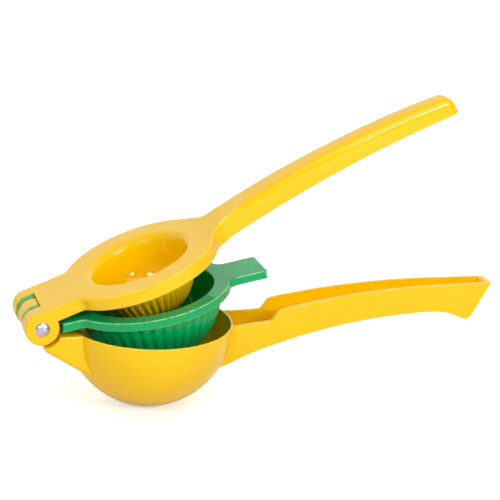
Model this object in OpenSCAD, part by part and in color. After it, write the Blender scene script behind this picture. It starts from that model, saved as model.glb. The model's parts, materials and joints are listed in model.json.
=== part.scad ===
// Hinged two-in-one citrus squeezer: a lemon bowl arm, a lime bowl that nests in it
// and a press arm, all turning on one rivet. Every arm is drawn closed, with the
// rivet's axis along Y at its own zero, and is then opened and lifted onto its place.
// The whole part stands on the flat under the lemon bowl, at the origin.

/* [Rest pose] */
// How far the lime bowl stands open, in degrees above the lemon bowl
lime_open = 11.3; // [1:0.1:60]
// How far the press arm stands open, in degrees above the lemon bowl
press_open = 21.8; // [15:0.1:120]

/* [Hinge] */
// Distance from the rivet's axis to the middle of the bowls
reach = 51; // [49:0.5:56]
// Width over the two outer ears, which is also the width of all three lugs
hinge_w = 34.2; // [32:0.2:40]
// Radius of the press arm's outer ears
ear_r = 7.5; // [7:0.1:8.5]
// Thickness of each outer ear
ear_t = 6.2; // [4:0.1:7]
// Radius of the knuckles between the ears
knuckle_r = 7; // [6:0.1:7]
// Thickness of each of the lime bowl's two knuckles
lime_knuckle_t = 5.9; // [4:0.1:6.5]
// Side clearance between neighbours on the rivet
side_gap = 0.3; // [0.2:0.05:0.4]
// Radial room that the press arm leaves round the knuckles
knuckle_relief = 0.95; // [0.8:0.05:1.1]
// Radial room that the lemon and lime lugs leave round the ears
ear_relief = 1.5; // [1:0.1:2]

/* [Rivet] */
// Diameter of the rivet's shank
rivet_d = 5; // [4:0.1:5.5]
// Diameter of the rivet's domed heads
head_d = 6.6; // [6.2:0.1:8]
// Height of each head over the ear
head_h = 1.7; // [1.2:0.1:2.4]
// Radial clearance between the shank and its bores
pin_gap = 0.05; // [0.02:0.01:0.1]

/* [Lemon bowl] */
// Outside radius of the lemon bowl
lemon_r = 37.5; // [37:0.5:40]
// Wall of the lemon bowl
lemon_wall = 1.9; // [1.6:0.1:2.4]
// Height of the straight band under the rim
rim_band = 1; // [0.5:0.1:2]
// Drop from the rivet's axis to the lemon bowl's rim
rim_drop = 4; // [3.8:0.1:5]
// Depth of the flat ground under the lemon bowl
foot_cut = 0.5; // [0.4:0.1:0.8]
// Depth of the lemon lug's heel below the rivet's axis
heel_drop = 10.9; // [10.4:0.1:12]
// Diameter of the lemon bowl's drain holes
lemon_hole_d = 3.4; // [2.5:0.1:4]

/* [Lemon handle] */
// Distance from the rivet's axis to the upper corner of the lemon handle's tip
handle_reach = 214.3; // [200:0.5:225]
// Height of the lemon handle's straight top over the rivet's axis
handle_rise = 8.3; // [7.5:0.1:9]
// Width of the lemon handle beside the notch
handle_w = 18.3; // [16:0.1:20]
// Width of the lemon handle at its tip
handle_tip_w = 11; // [10:0.1:13]
// Depth of the lemon handle under its straight top
handle_depth = 12.8; // [12:0.1:14]
// Side walls of both handles
handle_wall = 1.9; // [1.6:0.1:2.4]
// Floor of both handles' channels
handle_floor = 2.2; // [1.8:0.1:2.8]
// Distance from the rivet's axis to the far end of the notch for the thumb tab
notch_end = 105; // [104.6:0.1:108]
// Depth of the notch's floor below the lemon bowl's rim, at the notch's far end
notch_drop = 0.2; // [0.1:0.1:1]
// Fall of the notch's floor from its far end to the lemon bowl's axis
notch_fall = 3; // [2:0.1:4]

/* [Lime bowl] */
// Outside radius of the lime bowl's ring
ring_r = 36.8; // [35:0.1:37]
// Thickness of the ring, its lug and its thumb tab
ring_t = 4; // [3.6:0.1:4]
// Inside radius of the lime bowl
lime_r = 29.4; // [28.5:0.1:29.8]
// Wall of the lime bowl
lime_wall = 2.2; // [1.8:0.1:2.6]
// Distance from the rivet's axis to the end of the thumb tab
tab_reach = 103.8; // [96:0.1:104]
// Width of the thumb tab
tab_w = 20.4; // [18:0.1:22]
// Fillet between the ring and the thumb tab
tab_fillet = 6; // [3:0.1:8]
// Diameter of the lime bowl's drain holes
lime_hole_d = 3.4; // [2.5:0.1:4]
// Clearance between stacked rims when the squeezer is closed
stack_gap = 0.3; // [0.2:0.05:0.4]

/* [Press arm] */
// Radius of the press plate
plate_r = 35.5; // [34:0.1:37]
// Thickness of the press plate and its lug
plate_t = 6.5; // [6:0.1:6.8]
// Inside radius of the press cup's round bottom
cup_r = 20.2; // [19:0.1:21]
// Slope of the press cup's side above its round bottom, in degrees
cup_flare = 15; // [12:0.5:16]
// Wall of the press cup
cup_wall = 1.9; // [1.8:0.1:2.8]
// Distance from the rivet's axis to the press handle's tip
press_reach = 210; // [200:0.5:220]
// Height of the press handle's crest over the rivet's axis
press_rise = 22.6; // [21:0.1:24]
// Depth of the press handle at its tip
press_depth = 9.4; // [9:0.1:11]
// Width of the press handle at the neck
press_w = 15; // [14:0.1:18]
// Width of the press handle at its tip
press_tip_w = 12.6; // [11:0.1:14]
// Fillet between the press plate and the press handle
neck_fillet = 12; // [8:0.5:14]

/* [Flutes] */
// Number of flutes round each cup
flutes = 40; // [24:4:60]
// How far the flutes stand out
flute_h = 0.9; // [0.5:0.1:1.1]
// Radius of the smooth pad that the lime bowl's flutes end at, outside its drain holes
lime_pad_r = 16; // [15:0.5:20]
// Radius of the smooth pad that the press cup's flutes end at
cup_pad_r = 4; // [3:0.5:10]

/* [Hidden] */
$fn = 96;

// Hinge stack, from the middle outwards
ear_in = hinge_w / 2 - ear_t;
lime_knuckle_out = ear_in - side_gap;
lime_knuckle_in = lime_knuckle_out - lime_knuckle_t;
centre_half = lime_knuckle_in - side_gap;
knuckle_bay = knuckle_r + knuckle_relief;
ear_bay = ear_r + ear_relief;
bore_r = rivet_d / 2 + pin_gap;

// Heights over the rivet's axis, closed
rim_z = -rim_drop;
ring_bottom = rim_z + stack_gap;
ring_top = ring_bottom + ring_t;
plate_bottom = ring_top + stack_gap;
plate_top = plate_bottom + plate_t;
hinge_z = rim_drop + rim_band + lemon_r - foot_cut;

// Lemon lug: its heel, where its lower edge meets the bowl, and its end inside the bowl
heel_x = 1.6;
heel_lean_angle = 30;
lug_meets_x = reach - lemon_r * 0.62;
lug_meets_z = rim_z - rim_band - lemon_r * 0.6;
lug_end_x = reach - lemon_r * 0.53;
lug_end_z = rim_z - lemon_r * 0.32;
// Share of the reach that the other two lugs run to, inside their rings
lug_in = 0.45;
// Overlap inside joined shapes, and a length beyond the whole part
past = 1;
cup_tuck = 0.1;
far = 400;

// Lemon handle: a shallow arc on top and another below, which meet the straight tip
crest_run = 28;
belly_run = 30;
top_crest_x = handle_reach - crest_run;
belly_x = handle_reach - belly_run;
belly_z = handle_rise - handle_depth;
top_bend_r = 407;
belly_bend_r = 270;
// The toe under its tip, which hooks down behind a hand
toe_bend_r = 34;
toe_bend_run = 16;
toe_gap = 1;
toe_end_run = 12;
toe_end_drop = 4.6;
toe_end_x = handle_reach - toe_end_run;
toe_end_z = belly_z - toe_end_drop;
toe_round = 1.6;
toe_lift = 0.2;
end_wall = handle_wall * 1.16;
notch_rise_run = 3.4;
channel_in = 6;
channel_start = reach + lemon_r - channel_in;

// Press handle: an arc on top and a flatter one below
press_crest_run = 20;
press_crest_x = press_reach - press_crest_run;
press_top_bend_r = 453;
press_belly_bend_r = 595;
press_belly_z = press_rise - press_depth;
// Its neck, which leaves the plate inside its edge and bends up into the top arc
neck_start = reach + plate_r * 0.7;
neck_bend = reach + plate_r * 0.85;
neck_end = reach + plate_r * 1.15;
// Its slanted tip, round in plan
tip_round = 4;
tip_lean = 5;
tip_foot = 1.8;
tip_nose = 2.4;

// Drain holes: the rings' distances from the bowl's middle, and the holes in each ring
lemon_hole_ring_r = [9, 15.5];
lemon_hole_counts = [6, 12];
lime_hole_ring_r = [0, 6.5, 12.5];
lime_hole_counts = [1, 6, 12];

// Height of an arc that peaks at [x0, z0], bending down with radius r
function crown(x, x0, z0, r) = z0 - r + sqrt(r * r - (x - x0) * (x - x0));
// Points along such an arc from x = a to x = b
function crown_points(a, b, x0, z0, r, n = 16) =
    [for (i = [0:n]) let (x = a + (b - a) * i / n) [x, crown(x, x0, z0, r)]];
// Points of a curve that leaves p towards q and arrives at s
function bend_points(p, q, s, n = 8) =
    [for (i = [0:n]) let (t = i / n) (1 - t) * (1 - t) * p + 2 * t * (1 - t) * q + t * t * s];
// Half the width of a handle that tapers from w0 at x0 to w1 at x1
function half_width(x, x0, w0, x1, w1) = (w0 + (w1 - w0) * (x - x0) / (x1 - x0)) / 2;

// Opens an arm by an angle and lifts its hinge onto the part's hinge axis
module opened(angle) {
    translate([-reach, 0, hinge_z]) rotate([0, -angle, 0]) children();
}

// A side outline in X and Z, as wide as w about the middle plane
module side_plate(points, w) {
    rotate([90, 0, 0]) linear_extrude(height = w, center = true) polygon(points);
}

// A disc along Y between two distances from the middle plane
module y_disc(r, y0, y1) {
    translate([0, y1, 0]) rotate([90, 0, 0]) cylinder(r = r, h = y1 - y0);
}

// A bowl's round solid: a dome below a straight band, its rim at z = 0
module dome(r, band) {
    translate([0, 0, -band]) difference() {
        sphere(r = r);
        translate([-r - past, -r - past, 0]) cube([2 * (r + past), 2 * (r + past), r + past]);
    }
    translate([0, 0, -band]) cylinder(r = r, h = band);
}

// Upright flutes on a dome of radius r, from its rim down to a smooth pad of radius pad_r
module dome_flutes(r, top_z, pad_r) {
    pitch = 360 / flutes;
    for (i = [0:flutes - 1]) rotate([0, 0, i * pitch]) rotate_extrude(angle = pitch * 0.5)
        intersection() {
            difference() {
                circle(r = r + flute_h);
                circle(r = r - flute_h);
            }
            translate([pad_r, -r - past]) square([r + past, r + past + top_z]);
        }
}

// Rings of drain holes through a bowl's bottom
module drain_holes(ring_radii, counts, d) {
    for (k = [0:len(counts) - 1]) for (i = [0:counts[k] - 1])
        rotate([0, 0, i * 360 / counts[k]]) translate([ring_radii[k], 0, -far / 4])
            cylinder(d = d, h = far / 4 - lemon_r / 4, $fn = 32);
}

// Plan outline that joins a disc of radius r to a strip of half width h by fillets f
module neck_plan(r, h, f) {
    neck_x = sqrt((r + f) * (r + f) - (h + f) * (h + f));
    difference() {
        translate([0, -h - f]) square([neck_x, 2 * (h + f)]);
        for (s = [-1, 1]) translate([neck_x, s * (h + f)]) circle(r = f);
    }
}

// Lemon bowl arm: bowl, hinge lug with the centre knuckle, and open channel handle
module lemon_lug() {
    inside_r = knuckle_r - past / 2;
    difference() {
        side_plate([[heel_x, -heel_drop], [lug_meets_x, lug_meets_z], [lug_end_x, lug_end_z],
            [lug_end_x, rim_z], [heel_x, rim_z]], hinge_w);
        for (s = [-1, 1]) mirror([0, s < 0 ? 1 : 0, 0])
            y_disc(ear_bay, centre_half, hinge_w / 2 + past);
    }
    y_disc(knuckle_r, -centre_half, centre_half);
    side_plate([[0, rim_z], [ear_bay + past, rim_z], [ear_bay + past, rim_z - ear_bay],
        [heel_x, -heel_drop], [-inside_r * sin(heel_lean_angle), -inside_r * cos(heel_lean_angle)]],
        2 * centre_half);
}

// Side outline over the lemon handle's lower edge, raised by shift, with the points given
module lemon_handle_side(shift, x0, top) {
    side_plate(concat(
        crown_points(x0, belly_x, belly_x, belly_z + shift, belly_bend_r),
        crown_points(belly_x + toe_gap, belly_x + toe_bend_run, belly_x, belly_z + shift,
            toe_bend_r, 6),
        top), far / 4);
}

module lemon_handle() {
    tip = handle_reach;
    half0 = half_width(reach, notch_end, handle_w, tip, handle_tip_w);
    half1 = handle_tip_w / 2;
    notch_z = rim_z - notch_drop;
    inner_end_x = tip - end_wall;
    difference() {
        intersection() {
            lemon_handle_side(0, reach, concat(
                [[toe_end_x - toe_round, toe_end_z + toe_lift], [toe_end_x, toe_end_z],
                [toe_end_x + toe_round, toe_end_z + 2 * toe_lift], [tip, handle_rise]],
                crown_points(top_crest_x, notch_end + notch_rise_run, top_crest_x, handle_rise,
                    top_bend_r),
                [[notch_end, notch_z], [reach, notch_z - notch_fall]]));
            linear_extrude(height = far, center = true)
                polygon([[reach, -half0], [tip, -half1], [tip, half1], [reach, half0]]);
        }
        intersection() {
            lemon_handle_side(handle_floor, channel_start, [
                [toe_end_x - end_wall, toe_end_z + handle_floor + toe_gap],
                [inner_end_x, handle_rise],
                [inner_end_x, handle_rise + far / 8],
                [channel_start, handle_rise + far / 8]]);
            linear_extrude(height = far, center = true) polygon([
                [reach, handle_wall - half0], [tip, handle_wall - half1],
                [tip, half1 - handle_wall], [reach, half0 - handle_wall]]);
        }
    }
}

module lemon_bowl_arm() {
    color([1, 0.8, 0.02]) opened(0) difference() {
        union() {
            translate([reach, 0, rim_z]) dome(lemon_r, rim_band);
            lemon_lug();
            lemon_handle();
        }
        translate([reach, 0, rim_z]) {
            dome(lemon_r - lemon_wall, rim_band);
            drain_holes(lemon_hole_ring_r, lemon_hole_counts, lemon_hole_d);
            cylinder(r = lemon_r - lemon_wall, h = far / 8);
        }
        translate([reach - lemon_r, -lemon_r, -hinge_z - lemon_r])
            cube([2 * lemon_r, 2 * lemon_r, lemon_r]);
        y_disc(bore_r, -hinge_w, hinge_w);
    }
}

// Lime bowl: ring with a thumb tab, fluted bowl below it, and lug with two knuckles
module lime_tab() {
    corner = 2;
    tab_start = reach + lime_r + lime_wall;
    translate([reach, 0, ring_bottom]) linear_extrude(height = ring_t)
        neck_plan(ring_r, tab_w / 2, tab_fillet);
    translate([0, 0, ring_bottom]) linear_extrude(height = ring_t) union() {
        translate([tab_start, -tab_w / 2]) square([tab_reach - corner - tab_start, tab_w]);
        translate([tab_start, corner - tab_w / 2]) square([tab_reach - tab_start, tab_w - 2 * corner]);
        for (s = [-1, 1]) translate([tab_reach - corner, s * (tab_w / 2 - corner)]) circle(r = corner);
    }
}

module lime_lug() {
    difference() {
        translate([0, -hinge_w / 2, ring_bottom]) cube([reach * lug_in, hinge_w, ring_t]);
        for (s = [-1, 1]) mirror([0, s < 0 ? 1 : 0, 0])
            y_disc(ear_bay, lime_knuckle_out, hinge_w / 2 + past);
        y_disc(knuckle_bay, -lime_knuckle_in, lime_knuckle_in);
    }
    for (s = [-1, 1]) mirror([0, s < 0 ? 1 : 0, 0])
        y_disc(knuckle_r, lime_knuckle_in, lime_knuckle_out);
}

module lime_bowl() {
    color([0, 0.62, 0.3]) opened(lime_open) difference() {
        union() {
            translate([reach, 0, ring_bottom]) cylinder(r = ring_r, h = ring_t);
            translate([reach, 0, ring_top]) dome(lime_r + lime_wall, past);
            translate([reach, 0, ring_top - past])
                dome_flutes(lime_r + lime_wall, past / 2 - ring_t, lime_pad_r);
            lime_lug();
            lime_tab();
        }
        translate([reach, 0, ring_top]) {
            dome(lime_r, past);
            drain_holes(lime_hole_ring_r, lime_hole_counts, lime_hole_d);
            cylinder(r = lime_r, h = lime_r);
        }
        y_disc(bore_r, -hinge_w, hinge_w);
    }
}

// Press arm: plate with the press cup, hinge lug with the outer ears, channel handle
module press_plan(inset, x0) {
    half0 = half_width(x0, neck_end, press_w, press_reach, press_tip_w) - inset;
    half1 = press_tip_w / 2 - inset;
    corner_x = press_reach - inset - tip_round;
    polygon([[x0, -half0], [corner_x, -half1], [corner_x, half1], [x0, half0]]);
    translate([corner_x - past, tip_round - half1]) square([tip_round + past, 2 * (half1 - tip_round)]);
    for (s = [-1, 1]) translate([corner_x, s * (half1 - tip_round)]) circle(r = tip_round);
}

// Side outline of the press arm: level plate, a ramp up at the neck, arched handle
module press_side() {
    belly_rise = press_belly_z - plate_bottom;
    belly_start = press_reach - sqrt(belly_rise * (2 * press_belly_bend_r - belly_rise));
    neck_z = crown(neck_end, press_crest_x, press_rise, press_top_bend_r);
    side_plate(concat([[0, plate_bottom]],
        crown_points(belly_start, press_reach - tip_foot, press_reach, press_belly_z,
            press_belly_bend_r),
        [[press_reach, press_belly_z + tip_foot], [press_reach - tip_foot, press_rise - tip_nose]],
        crown_points(press_reach - tip_lean, neck_end, press_crest_x, press_rise, press_top_bend_r),
        bend_points([neck_end, neck_z], [neck_bend, plate_top], [neck_start, plate_top]),
        [[0, plate_top]]), far / 4);
}

// Channel inside the press handle, open below
module press_channel() {
    channel_x = neck_end + handle_floor;
    channel_end = press_reach - tip_lean;
    intersection() {
        side_plate(concat([[channel_x, -far / 8], [channel_end, -far / 8]],
            crown_points(channel_end, channel_x, press_crest_x, press_rise - handle_floor,
                press_top_bend_r)), far / 4);
        linear_extrude(height = far, center = true) press_plan(handle_wall, neck_start);
    }
}

// Space inside the press cup: a round bottom, then a side that widens up to the plate's top
module cup_inside() {
    depth = cup_r * sin(cup_flare);
    side_r = cup_r * cos(cup_flare) - cup_tuck;
    rise = depth + plate_t + past;
    translate([0, 0, -depth]) cylinder(r1 = side_r, r2 = side_r + rise * tan(cup_flare), h = rise);
    translate([0, 0, past]) dome(cup_r, past);
}

module press_arm() {
    color([1, 0.8, 0.02]) opened(press_open) difference() {
        union() {
            difference() {
                intersection() {
                    press_side();
                    linear_extrude(height = far, center = true) {
                        translate([0, -hinge_w / 2]) square([reach * lug_in, hinge_w]);
                        translate([reach, 0]) circle(r = plate_r);
                        translate([reach, 0]) neck_plan(plate_r, press_w / 2, neck_fillet);
                        press_plan(0, neck_start);
                    }
                }
                press_channel();
                y_disc(knuckle_bay, -ear_in, ear_in);
            }
            for (s = [-1, 1]) mirror([0, s < 0 ? 1 : 0, 0])
                y_disc(ear_r, ear_in, hinge_w / 2);
            translate([reach, 0, plate_bottom + past]) dome(cup_r + cup_wall, past);
            translate([reach, 0, plate_bottom]) dome_flutes(cup_r + cup_wall, past / 2, cup_pad_r);
        }
        translate([reach, 0, plate_bottom]) cup_inside();
        y_disc(bore_r, -hinge_w, hinge_w);
    }
}

// Rivet: round shank with a domed head seated on each ear
module hinge_rivet() {
    dome_r = (head_h * head_h + head_d * head_d / 4) / (2 * head_h);
    color([0.8, 0.8, 0.85]) opened(press_open) {
        y_disc(rivet_d / 2, -hinge_w / 2, hinge_w / 2);
        for (s = [-1, 1]) mirror([0, s < 0 ? 1 : 0, 0]) intersection() {
            translate([0, hinge_w / 2 + head_h - dome_r, 0]) sphere(r = dome_r);
            y_disc(head_d / 2 + past, hinge_w / 2, hinge_w / 2 + 2 * head_h);
        }
    }
}

lemon_bowl_arm();
lime_bowl();
press_arm();
hinge_rivet();
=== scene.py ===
"""Looks of a hinged citrus squeezer: three enamelled castings turning on one steel rivet.

Each casting is modelled closed, in millimetres, with the rivet's axis along Y at zero. It is
then opened by its own angle, lifted onto the frame's hinge and made to ride on its body.
"""

import json
import math

import bmesh
import bpy
from mathutils import Matrix, Vector


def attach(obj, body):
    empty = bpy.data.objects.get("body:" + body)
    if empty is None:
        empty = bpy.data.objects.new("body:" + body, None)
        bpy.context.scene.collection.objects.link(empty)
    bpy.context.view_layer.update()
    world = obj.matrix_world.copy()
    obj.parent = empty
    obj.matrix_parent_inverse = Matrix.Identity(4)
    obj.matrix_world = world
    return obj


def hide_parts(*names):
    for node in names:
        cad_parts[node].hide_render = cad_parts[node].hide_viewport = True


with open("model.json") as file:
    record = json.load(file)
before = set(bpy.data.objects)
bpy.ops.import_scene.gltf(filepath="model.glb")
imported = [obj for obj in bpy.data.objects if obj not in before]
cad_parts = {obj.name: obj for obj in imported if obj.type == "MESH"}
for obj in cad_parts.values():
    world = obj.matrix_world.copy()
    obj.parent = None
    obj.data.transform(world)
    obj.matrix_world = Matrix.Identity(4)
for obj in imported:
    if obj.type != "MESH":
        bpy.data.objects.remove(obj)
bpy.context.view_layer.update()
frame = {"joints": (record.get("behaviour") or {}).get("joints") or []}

# ---------------------------------------------------------------- places taken from the frame
JOINTS = {joint["name"]: joint for joint in frame["joints"]}
HINGE = Vector(JOINTS["press_arm_hinge"]["pos_m"])
LIME_OPEN = -JOINTS["lime_bowl_hinge"]["range_deg"][0]
PRESS_OPEN = LIME_OPEN - JOINTS["press_arm_hinge"]["range_deg"][0]
MM = 0.001
REACH = -HINGE.x / MM               # from the rivet to the middle of the bowls
FOOT_Z = -HINGE.z / MM              # the floor's height, seen from the rivet

# ---------------------------------------------------------------- sizes in millimetres
FAR = 60.0                          # past the outside of every casting
HAIR = 0.02                         # keeps two faces from lying in one plane
CLEAR = 1.0                         # keeps the start of one form clear of another's end
WELD = 0.01                         # points of two open solids this near become one
MERGE = 0.002                       # and so do points that a cut leaves this near
SAME_POINT = 1e-4                   # and the doubled points of a turned solid
ON_PLANE = 1e-5                     # a slice runs through the points this near to it
TINY = 1e-6                         # no length at all

# Edges: sharp ones are rounded, and the narrow faces of the round are marked for a painted
# highlight, patchy like wear.
EDGE_ANGLE = math.radians(32)
EDGE_WIDTH = 0.6
EDGE_BEND = math.radians(14)
DOME_REACH = 33.0                   # the fluted domes, within this of the middle, are unmarked
SHADING_WEIGHT = 60

# Hinge: the ears outside, then the lime bowl's knuckles, and the lemon bowl's in the middle.
HINGE_HALF = 17.1
EAR_R = 7.5
EAR_IN = 8.8
EAR_BAY = 9.0
EAR_ARC_END = -254                  # degrees, past the ear's top
EAR_SWELL_END = (2.0, 7.23)
EAR_SWELL_STEPS = 6
KNUCKLE_R = 7.0
KNUCKLE_BAY = 7.95
KNUCKLE_EDGE = 0.5
CENTRE_HALF = 4.4
LIME_KNUCKLE_IN = 4.85
LIME_KNUCKLE_OUT = 8.35
BORE_R = 2.55
LUG_FILLET = 3.5

# Plate and cup of the press arm.
PLATE_LOW = 0.6
PLATE_HIGH = 7.1
PLATE_MIDDLE = (PLATE_LOW + PLATE_HIGH) / 2
PLATE_R = 35.5
PLATE_ROUND = 1.0
LUG_JOIN_X = 13.0
LUG_OVERLAP = 8.0
NECK_HALF = 7.5
NECK_FILLET = 12.0
CUP_R = 20.2
CUP_FLARE = 12.0                    # degrees
CUP_WALL = 1.9
CUP_LIP = 4.2

# Press handle: its arch above, its belly below and the channel between its walls.
NECK_START_X = REACH + 24.85
NECK_BEND_X = REACH + 30.2
NECK_END_X = REACH + 40.8
PRESS_REACH = 210.0
PRESS_TIP_HALF = 6.3
PRESS_TIP_ROUND = 4.0
PRESS_TIP_LEAN = 2.2
PRESS_LEAN_RUN = 8.0
PRESS_CREST = (190.0, 22.6)
PRESS_TOP_BEND = 453.0
PRESS_BELLY = (210.0, 13.2)
PRESS_BELLY_BEND = 595.0
PRESS_ROUND_AT_NECK = 1.7
PRESS_ROUND_AT_TIP = 4.0
PRESS_ROUND_RUN = 60.0
PRESS_END_WALL = 5.0
PRESS_CHANNEL_CORNER = 2.5
PRESS_CHANNEL_ROUND = 1.4
HANDLE_WALL = 1.9
HANDLE_FLOOR = 2.2

# Ring, thumb tab and bowl of the lime bowl.
RING_LOW = -3.7
RING_HIGH = 0.3
RING_R = 36.8
RING_ROUND = 0.7
LIME_R = 29.4
LIME_WALL = 2.2
LIME_CENTRE_Z = -0.7
LIME_LIP = 0.9
TAB_REACH = 103.8
TAB_HALF = 10.2
TAB_FILLET = 4.0
TAB_CORNER = 1.3
LIME_HOLE_RINGS = ((0.0, 1), (6.5, 6), (12.5, 12))

# Lemon bowl, with its foot and its drain holes.
RIM_Z = -4.0
LEMON_R = 37.5
LEMON_WALL = 1.0
LEMON_CENTRE_Z = -5.0
LEMON_LIP = 0.5
LEMON_INNER_LIP = 0.45
FOOT_EDGE = 0.2
FOOT_EDGE_TURN = 0.4                # degrees
LEMON_HOLE_RINGS = ((9.0, 6), (15.5, 12))
HOLE_R = 1.7
HOLE_TOP_Z = LEMON_CENTRE_Z - LIME_R / 2

# Lug of the lemon bowl, and what carries its knuckle.
LUG_HEEL = (1.6, -10.9)
LUG_MEETS = (27.75, -27.5)
LUG_END = (31.1, -16.0)
LUG_ROUND = 2.6
LUG_ROUND_TOP_Z = -11.0
LUG_TOP_ROUND = 0.7
CARRIER_LEAN = math.radians(30)
CARRIER_R = KNUCKLE_R - 0.8

# Lemon handle: the notch for the thumb tab, the crest, the belly and the hooked toe.
HANDLE_START_X = 78.0
CHANNEL_START_X = 82.5
HANDLE_TIP = (214.6, 8.3)
HANDLE_HALF = 9.6
HANDLE_TIP_HALF = 5.5
FLARE_START_X = 101.0
FLARE = 1.6
NOTCH_END_X = 105.7
NOTCH_Z = -4.2
NOTCH_SLOPE = 3.0 / 54.0
NOTCH_RISE = 3.4
NOTCH_TOP_EASE = 1.6
NOTCH_LOW_EASE = 0.7
LEMON_CREST = (186.3, 8.3)
LEMON_TOP_BEND = 407.0
LEMON_BELLY = (184.3, -4.5)
LEMON_BELLY_BEND = 270.0
TOE_RUN = 14.0
TOE_BEND = 34.0
TOE = (202.9, -6.0)
TOE_R = 3.2
TOE_ARC = (-114, -31)               # degrees
CHANNEL_TOE = [(TOE[0] - 0.9, TOE[1] + 0.6), (TOE[0] + 1.2, TOE[1] + 1.7)]
CHANNEL_END = (HANDLE_TIP[0] - 2.8, HANDLE_TIP[1] + 0.1)
LEMON_EDGE_ROUND = 0.55
LEMON_CHANNEL_ROUND = 1.0

# Flutes of the cup and the lime bowl, which fade out round a smooth pad.
FLUTES = 40
FLUTE_H = 0.9
FLUTE_SINK = 0.1
FLUTE_FADE = 4.0
LIME_PAD_R = 16.0
CUP_PAD_R = 4.0
DOME_OVERLAP = 1.0

# Rivet.
HEAD_R = 3.3
HEAD_H = 1.7
HEAD_EDGE = 0.05
SHANK_R = 2.5

# Fineness: parts of a full turn, and lengths between the cuts that let a handle bend.
HINGE_SEGMENTS = 96
BOWL_SEGMENTS = 160
LIME_SEGMENTS = 144
HOLE_SEGMENTS = 24
RIVET_SEGMENTS = 64
SEGMENTS_PER_FLUTE = 8
CORNER_START = 89                   # degrees, so that a corner doesn't double the side's end
LIP_END = 91                        # degrees, so that a lip ends past its top
LIP_STEPS_PER_MM = 3
LEAST_LIP_STEPS = 4
NECK_SLICE = 1.3
ROOT_SLICE = 1.2
HANDLE_SLICE = 4.0
HALVINGS = 30

# ---------------------------------------------------------------- colours and finishes
WHITE = (1.0, 1.0, 1.0, 1.0)
# The edge colours are a painted highlight along the rounded edges, pale and patchy like wear.
YELLOW = {
    "Colour": (0.96, 0.58, 0.0),
    "Deep Colour": (0.95, 0.53, 0.0),
    "Edge Highlight And Wear": (1.0, 0.68, 0.10),
}
GREEN = {
    "Colour": (0.0, 0.40, 0.11),
    "Deep Colour": (0.0, 0.34, 0.085),
    "Edge Highlight And Wear": (0.50, 0.76, 0.58),
}
STEEL = (0.66, 0.62, 0.76)
TARNISH_TONE = 0.7
ENAMEL_ROUGHNESS = 0.03
ENAMEL_IOR = 1.5
ENAMEL_SPECULAR = 0.36
# share of the painted edge highlight and wear
EDGE_HIGHLIGHT_AND_WEAR = 0.6
RELIEF = 0.0002                     # metres between a bump's low and high places
PEEL_SCALE, PEEL_DETAIL, PEEL_STRENGTH = 330.0, 1.5, 0.01
DENT_SCALE, DENT_DETAIL, STEEL_STRENGTH = 800.0, 3.0, 0.35
DENT_LIMITS, STEEL_ROUGHNESS = (0.4, 0.7), (0.26, 0.42)
TURNING_SCALE, TURNING_WOBBLE, TURNING_HEIGHT = 900.0, 1.2, 0.25
PATCHES = {   # noise per metre, detail, roughness; the noise's limits; the values they become
    "clouds": (38.0, 3.0, 0.5, 0.35, 0.75, 0.0, 0.35),
    # patches that break up the painted edge highlight like wear
    "edge_sheen_and_wear": (420.0, 2.0, 0.5, 0.3, 0.6, 0.3, 1.0),
    "scuffs": (900.0, 4.0, 0.65, 0.6, 0.8, 0.0, 0.03),
    "smears": (60.0, 2.0, 0.5, 0.45, 0.7, 0.0, 0.02),
    "tarnish": (300.0, 2.0, 0.5, 0.4, 0.75, 0.0, 0.5),
}
COLOUR_A, COLOUR_B, COLOUR_RESULT = 6, 7, 2   # a Mix node's sockets for colours

# ---------------------------------------------------------------- light, in metres
FRONT_LIGHT = 0.06
BACK_LIGHT = 1.1
FRONT_GLOSS = 0.28
BACK_GLOSS = 1.04
ROOM_TURNS = (-0.15, 0.5)           # along Y, from the dim room to the white wall
FLOOR_HALF = 3.0
FLOOR_TONE = 0.85
FLOOR_GLOW = 0.5
FLOOR_FADE = (0.3, 0.9)
MIDDLE = Vector((0.05, 0.0, 0.06))
LAMPS = {   # degrees to the right of the front, degrees up, distance, width, height, brightness
    "overhead": (10, 55, 1.7, 1.2, 1.0, 2.5),
    "front_left": (-44, 27, 1.1, 0.40, 0.16, 16.0),
    "front": (14.7, 26, 0.95, 0.22, 0.12, 22.0),
    "front_right": (30, 22, 0.95, 0.40, 0.10, 15.0),
}

# ---------------------------------------------------------------- camera, in metres and degrees
CAMERA_AZIMUTH, CAMERA_ELEVATION, CAMERA_ROLL = -18.04, 17.58, 3.53
CAMERA_DISTANCE = 0.76397
CAMERA_TARGET = Vector((0.04532, 0.0, 0.06896))
PHOTO_WIDTH_PX, FOCAL_PX = 500, 1703.68
SENSOR_MM = 36.0
CLIP = (0.05, 20.0)


def in_scene(name, data):
    """A new object with its data, in the scene."""
    made = bpy.data.objects.new(name, data)
    bpy.context.scene.collection.objects.link(made)
    return made


def direction(azimuth, elevation):
    """Where a place lies from the object, by its degrees right of the front and up."""
    across, up = math.radians(azimuth), math.radians(elevation)
    return Vector((
        math.sin(across) * math.cos(up), -math.cos(across) * math.cos(up), math.sin(up),
    ))


def add_camera():
    """The photograph's viewpoint, fitted to the rims, ears and handles that it shows."""
    back = direction(CAMERA_AZIMUTH, CAMERA_ELEVATION)
    azimuth, roll = math.radians(CAMERA_AZIMUTH), math.radians(CAMERA_ROLL)
    level = Vector((math.cos(azimuth), math.sin(azimuth), 0.0))
    upright = back.cross(level)
    right = math.cos(roll) * level + math.sin(roll) * upright
    up = back.cross(right)
    data = bpy.data.cameras.new("camera")
    data.sensor_width = SENSOR_MM
    data.lens = FOCAL_PX / PHOTO_WIDTH_PX * SENSOR_MM
    data.clip_start, data.clip_end = CLIP
    camera = in_scene("camera", data)
    turn = Matrix((right, up, back)).transposed().to_4x4()
    camera.matrix_world = Matrix.Translation(CAMERA_TARGET + CAMERA_DISTANCE * back) @ turn
    bpy.context.scene.camera = camera


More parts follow.
